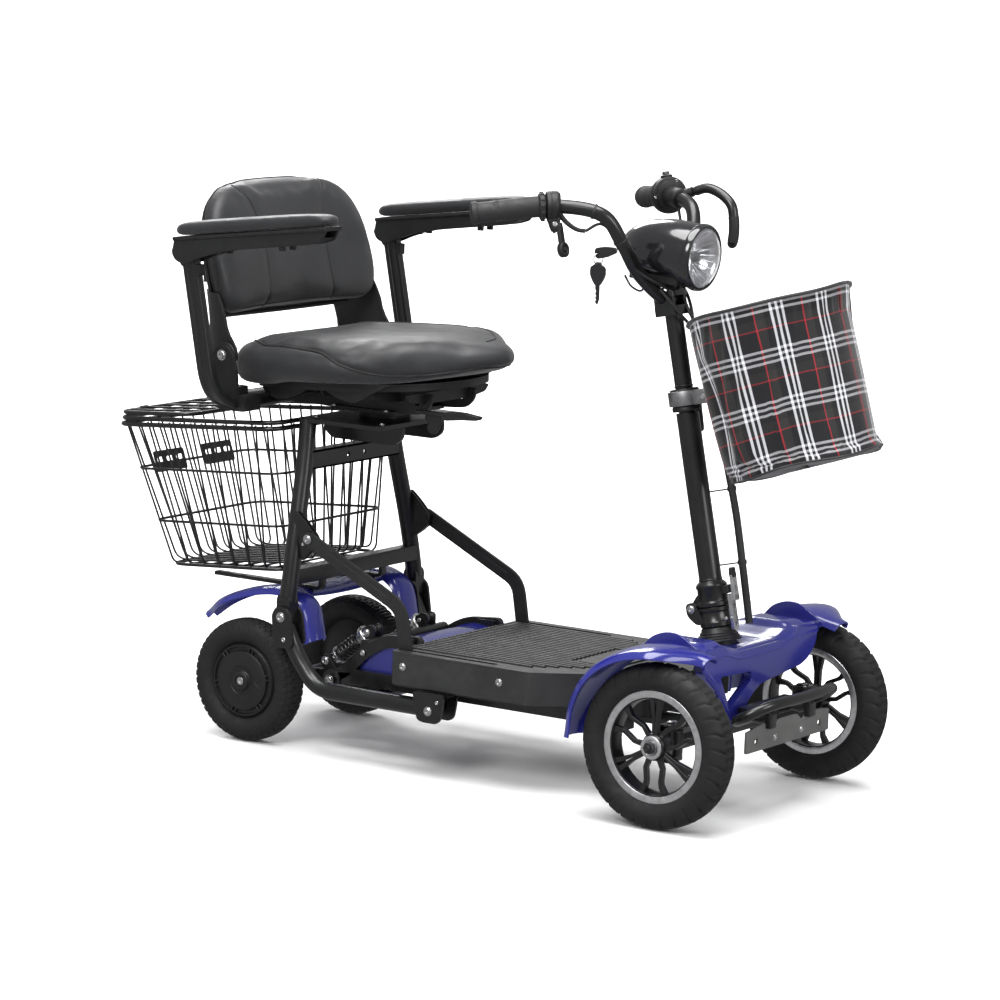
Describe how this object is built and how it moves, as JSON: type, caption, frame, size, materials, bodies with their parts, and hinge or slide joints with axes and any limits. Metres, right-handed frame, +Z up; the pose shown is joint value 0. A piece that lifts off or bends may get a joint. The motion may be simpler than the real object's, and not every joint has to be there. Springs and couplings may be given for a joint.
{
  "type": "folding four-wheel mobility scooter",
  "caption": "Folding electric mobility scooter with swivel seat, lifting armrests, folding steering column, fabric front bag and lidded wire rear basket.",
  "frame": {"origin": "on the ground, under the middle of the whole object", "axes": "+X forward, +Y to the rider's left, +Z up; the front wheels stand at about X 0.45 m"},
  "size_m": [1.3316, 0.606, 0.9567],
  "materials": {
    "black_paint": "satin",
    "black_plastic": "matte",
    "gloss_black": "gloss",
    "grey_plastic": "matte",
    "rubber": "matte",
    "tyre": "matte",
    "blue_paint": "gloss",
    "steel": "satin",
    "rim_alloy": "satin",
    "vinyl": "satin",
    "plaid": "woven",
    "lens": "clear"
  },
  "bodies": {
    "main_frame": {"deck_top": "grey_plastic", "battery_pack": "black_plastic", "chassis_frame": "black_paint", "side_hoops": "black_paint", "front_axle_beam": "black_paint", "front_fender_left": "blue_paint", "front_fender_right": "blue_paint", "front_fairing": "blue_paint", "front_bumper": "black_paint", "rear_fender": "blue_paint", "rear_fairing": "blue_paint", "steering_head": "black_plastic", "shock_absorber_left": "steel", "shock_absorber_right": "steel"},
    "rear_axle": {"rear_swing_arm": "black_paint"},
    "steering": {"fold_joint_base": "black_paint"},
    "fold_latch": {"fold_latch_lever": "steel"},
    "column": {"column_lower_tube": "black_paint", "basket_bracket": "steel", "plaid_basket": "plaid", "cable_bundle": "rubber"},
    "collar_clamp": {"collar_lever": "black_plastic"},
    "handlebar_set": {"column_upper_tube": "black_paint", "handlebar": "black_paint", "hand_grip_left": "rubber", "hand_grip_right": "rubber", "throttle_housing": "black_plastic", "left_switch_housing": "black_plastic", "headlight_pod": "gloss_black", "headlight_lens": "lens"},
    "throttle": {"throttle_paddle": "black_plastic"},
    "brake": {"brake_lever": "black_paint"},
    "horn": {"horn_button": "black_plastic"},
    "key": {"ignition_key": "black_plastic"},
    "seat_tower": {"seat_frame": "black_paint", "rear_basket": "black_paint"},
    "basket_lid": {"rear_basket_lid": "black_paint"},
    "seat": {"seat_pan": "black_plastic", "seat_cushion": "vinyl", "armrest_post_left": "black_paint", "armrest_post_right": "black_paint"},
    "swivel_release": {"swivel_lever": "black_plastic"},
    "backrest": {"backrest_cushion": "vinyl", "backrest_frame": "black_plastic"},
    "front_knuckle_left": {"front_knuckle_left": "black_paint"},
    "front_wheel_left": {"front_tyre_left": "tyre", "front_rim_left": "rim_alloy"},
    "rear_wheel_left": {"rear_tyre_left": "tyre", "rear_hub_motor_left": "black_plastic"},
    "stay_left": {"stay_link_left": "black_paint"},
    "armrest_left": {"armrest_tray_left": "black_plastic", "armrest_pad_left": "vinyl"},
    "front_knuckle_right": {"front_knuckle_right": "black_paint"},
    "front_wheel_right": {"front_tyre_right": "tyre", "front_rim_right": "rim_alloy"},
    "rear_wheel_right": {"rear_tyre_right": "tyre", "rear_hub_motor_right": "black_plastic"},
    "stay_right": {"stay_link_right": "black_paint"},
    "armrest_right": {"armrest_tray_right": "black_plastic", "armrest_pad_right": "vinyl"}
  },
  "joints": [
    {"name": "steer", "type": "hinge", "parent": "main_frame", "child": "steering", "pos_m": [0.40589, 0, 0.244], "axis": [-0.2045, 0, 0.9789], "range_deg": [-28, 28]},
    {"name": "kingpin_left", "type": "hinge", "parent": "main_frame", "child": "front_knuckle_left", "pos_m": [0.44589, 0.1965, 0.127], "axis": [0, 0, 1], "range_deg": [-28, 28]},
    {"name": "front_wheel_left_spin", "type": "hinge", "parent": "front_knuckle_left", "child": "front_wheel_left", "pos_m": [0.44589, 0.2365, 0.127], "axis": [0, 1, 0], "continuous": true},
    {"name": "kingpin_right", "type": "hinge", "parent": "main_frame", "child": "front_knuckle_right", "pos_m": [0.44589, -0.1965, 0.127], "axis": [0, 0, 1], "range_deg": [-28, 28]},
    {"name": "front_wheel_right_spin", "type": "hinge", "parent": "front_knuckle_right", "child": "front_wheel_right", "pos_m": [0.44589, -0.2365, 0.127], "axis": [0, 1, 0], "continuous": true},
    {"name": "rear_suspension", "type": "hinge", "parent": "main_frame", "child": "rear_axle", "pos_m": [-0.25011, 0, 0.116], "axis": [0, 1, 0], "range_deg": [-4, 6], "stiffness_Nm_per_rad": 2400, "deforming": ["shock_absorber_left", "shock_absorber_right"]},
    {"name": "rear_wheel_left_spin", "type": "hinge", "parent": "rear_axle", "child": "rear_wheel_left", "pos_m": [-0.39611, 0.1465, 0.101], "axis": [0, 1, 0], "continuous": true},
    {"name": "rear_wheel_right_spin", "type": "hinge", "parent": "rear_axle", "child": "rear_wheel_right", "pos_m": [-0.39611, -0.1465, 0.101], "axis": [0, 1, 0], "continuous": true},
    {"name": "fold_latch_turn", "type": "hinge", "parent": "steering", "child": "fold_latch", "pos_m": [0.43348, 0, 0.27428], "axis": [0, 1, 0], "range_deg": [0, 60]},
    {"name": "column_fold", "type": "hinge", "parent": "steering", "child": "column", "pos_m": [0.36429, 0, 0.2966], "axis": [0, -1, 0], "range_deg": [0, 24]},
    {"name": "collar_lever_turn", "type": "hinge", "parent": "column", "child": "collar_clamp", "pos_m": [0.32757, 0.03, 0.61891], "axis": [0, 1, 0], "range_deg": [0, 90]},
    {"name": "bar_height", "type": "slide", "parent": "column", "child": "handlebar_set", "axis": [-0.2045, 0, 0.9789], "range_m": [0, 0.08]},
    {"name": "throttle_push", "type": "hinge", "parent": "handlebar_set", "child": "throttle", "pos_m": [0.17979, -0.1678, 0.9183], "axis": [-0.8016, -0.5978, -0.0085], "range_deg": [0, 25], "stiffness_Nm_per_rad": 0.4},
    {"name": "brake_pull", "type": "hinge", "parent": "handlebar_set", "child": "brake", "pos_m": [0.23349, 0.1553, 0.9284], "axis": [0, 1, 0], "range_deg": [0, 12], "stiffness_Nm_per_rad": 3},
    {"name": "horn_press", "type": "slide", "parent": "handlebar_set", "child": "horn", "axis": [0.2045, 0, -0.9789], "range_m": [0, 0.002], "stiffness_N_per_m": 400},
    {"name": "key_turn", "type": "hinge", "parent": "handlebar_set", "child": "key", "pos_m": [0.18545, -0.0225, 0.83951], "axis": [0.9789, 0, 0.2045], "range_deg": [0, 60]},
    {"name": "seat_fold", "type": "hinge", "parent": "main_frame", "child": "seat_tower", "pos_m": [-0.30011, 0, 0.222], "axis": [0, -1, 0], "range_deg": [-45, 0]},
    {"name": "stay_left_slide", "type": "hinge", "parent": "seat_tower", "child": "stay_left", "pos_m": [-0.26811, 0.1665, 0.35], "axis": [0, -1, 0], "range_deg": [0, 61.02]},
    {"name": "stay_right_slide", "type": "hinge", "parent": "seat_tower", "child": "stay_right", "pos_m": [-0.26811, -0.1665, 0.35], "axis": [0, -1, 0], "range_deg": [0, 61.02]},
    {"name": "basket_lid_open", "type": "hinge", "parent": "seat_tower", "child": "basket_lid", "pos_m": [-0.67211, 0, 0.5165], "axis": [0, -1, 0], "range_deg": [0, 100]},
    {"name": "seat_swivel", "type": "hinge", "parent": "seat_tower", "child": "seat", "pos_m": [-0.24311, 0, 0.546], "axis": [0, 0, 1], "range_deg": [-45, 45]},
    {"name": "swivel_release_lift", "type": "hinge", "parent": "seat", "child": "swivel_release", "pos_m": [-0.12511, -0.078, 0.563], "axis": [0, -1, 0], "range_deg": [0, 8], "stiffness_Nm_per_rad": 8},
    {"name": "backrest_fold", "type": "hinge", "parent": "seat", "child": "backrest", "pos_m": [-0.40511, 0, 0.64], "axis": [0, -1, 0], "range_deg": [-50, 0]},
    {"name": "armrest_left_lift", "type": "hinge", "parent": "seat", "child": "armrest_left", "pos_m": [-0.44011, 0.275, 0.808], "axis": [0, -1, 0], "range_deg": [0, 90]},
    {"name": "armrest_right_lift", "type": "hinge", "parent": "seat", "child": "armrest_right", "pos_m": [-0.44011, -0.275, 0.808], "axis": [0, -1, 0], "range_deg": [0, 90]}
  ],
  "couplings": [
    {"joint": "kingpin_left", "follows": "steer", "ratio": 1},
    {"joint": "kingpin_right", "follows": "steer", "ratio": 1},
    {"joint": "stay_left_slide", "follows": "seat_fold", "ratio": -1.356},
    {"joint": "stay_right_slide", "follows": "seat_fold", "ratio": -1.356}
  ]
}
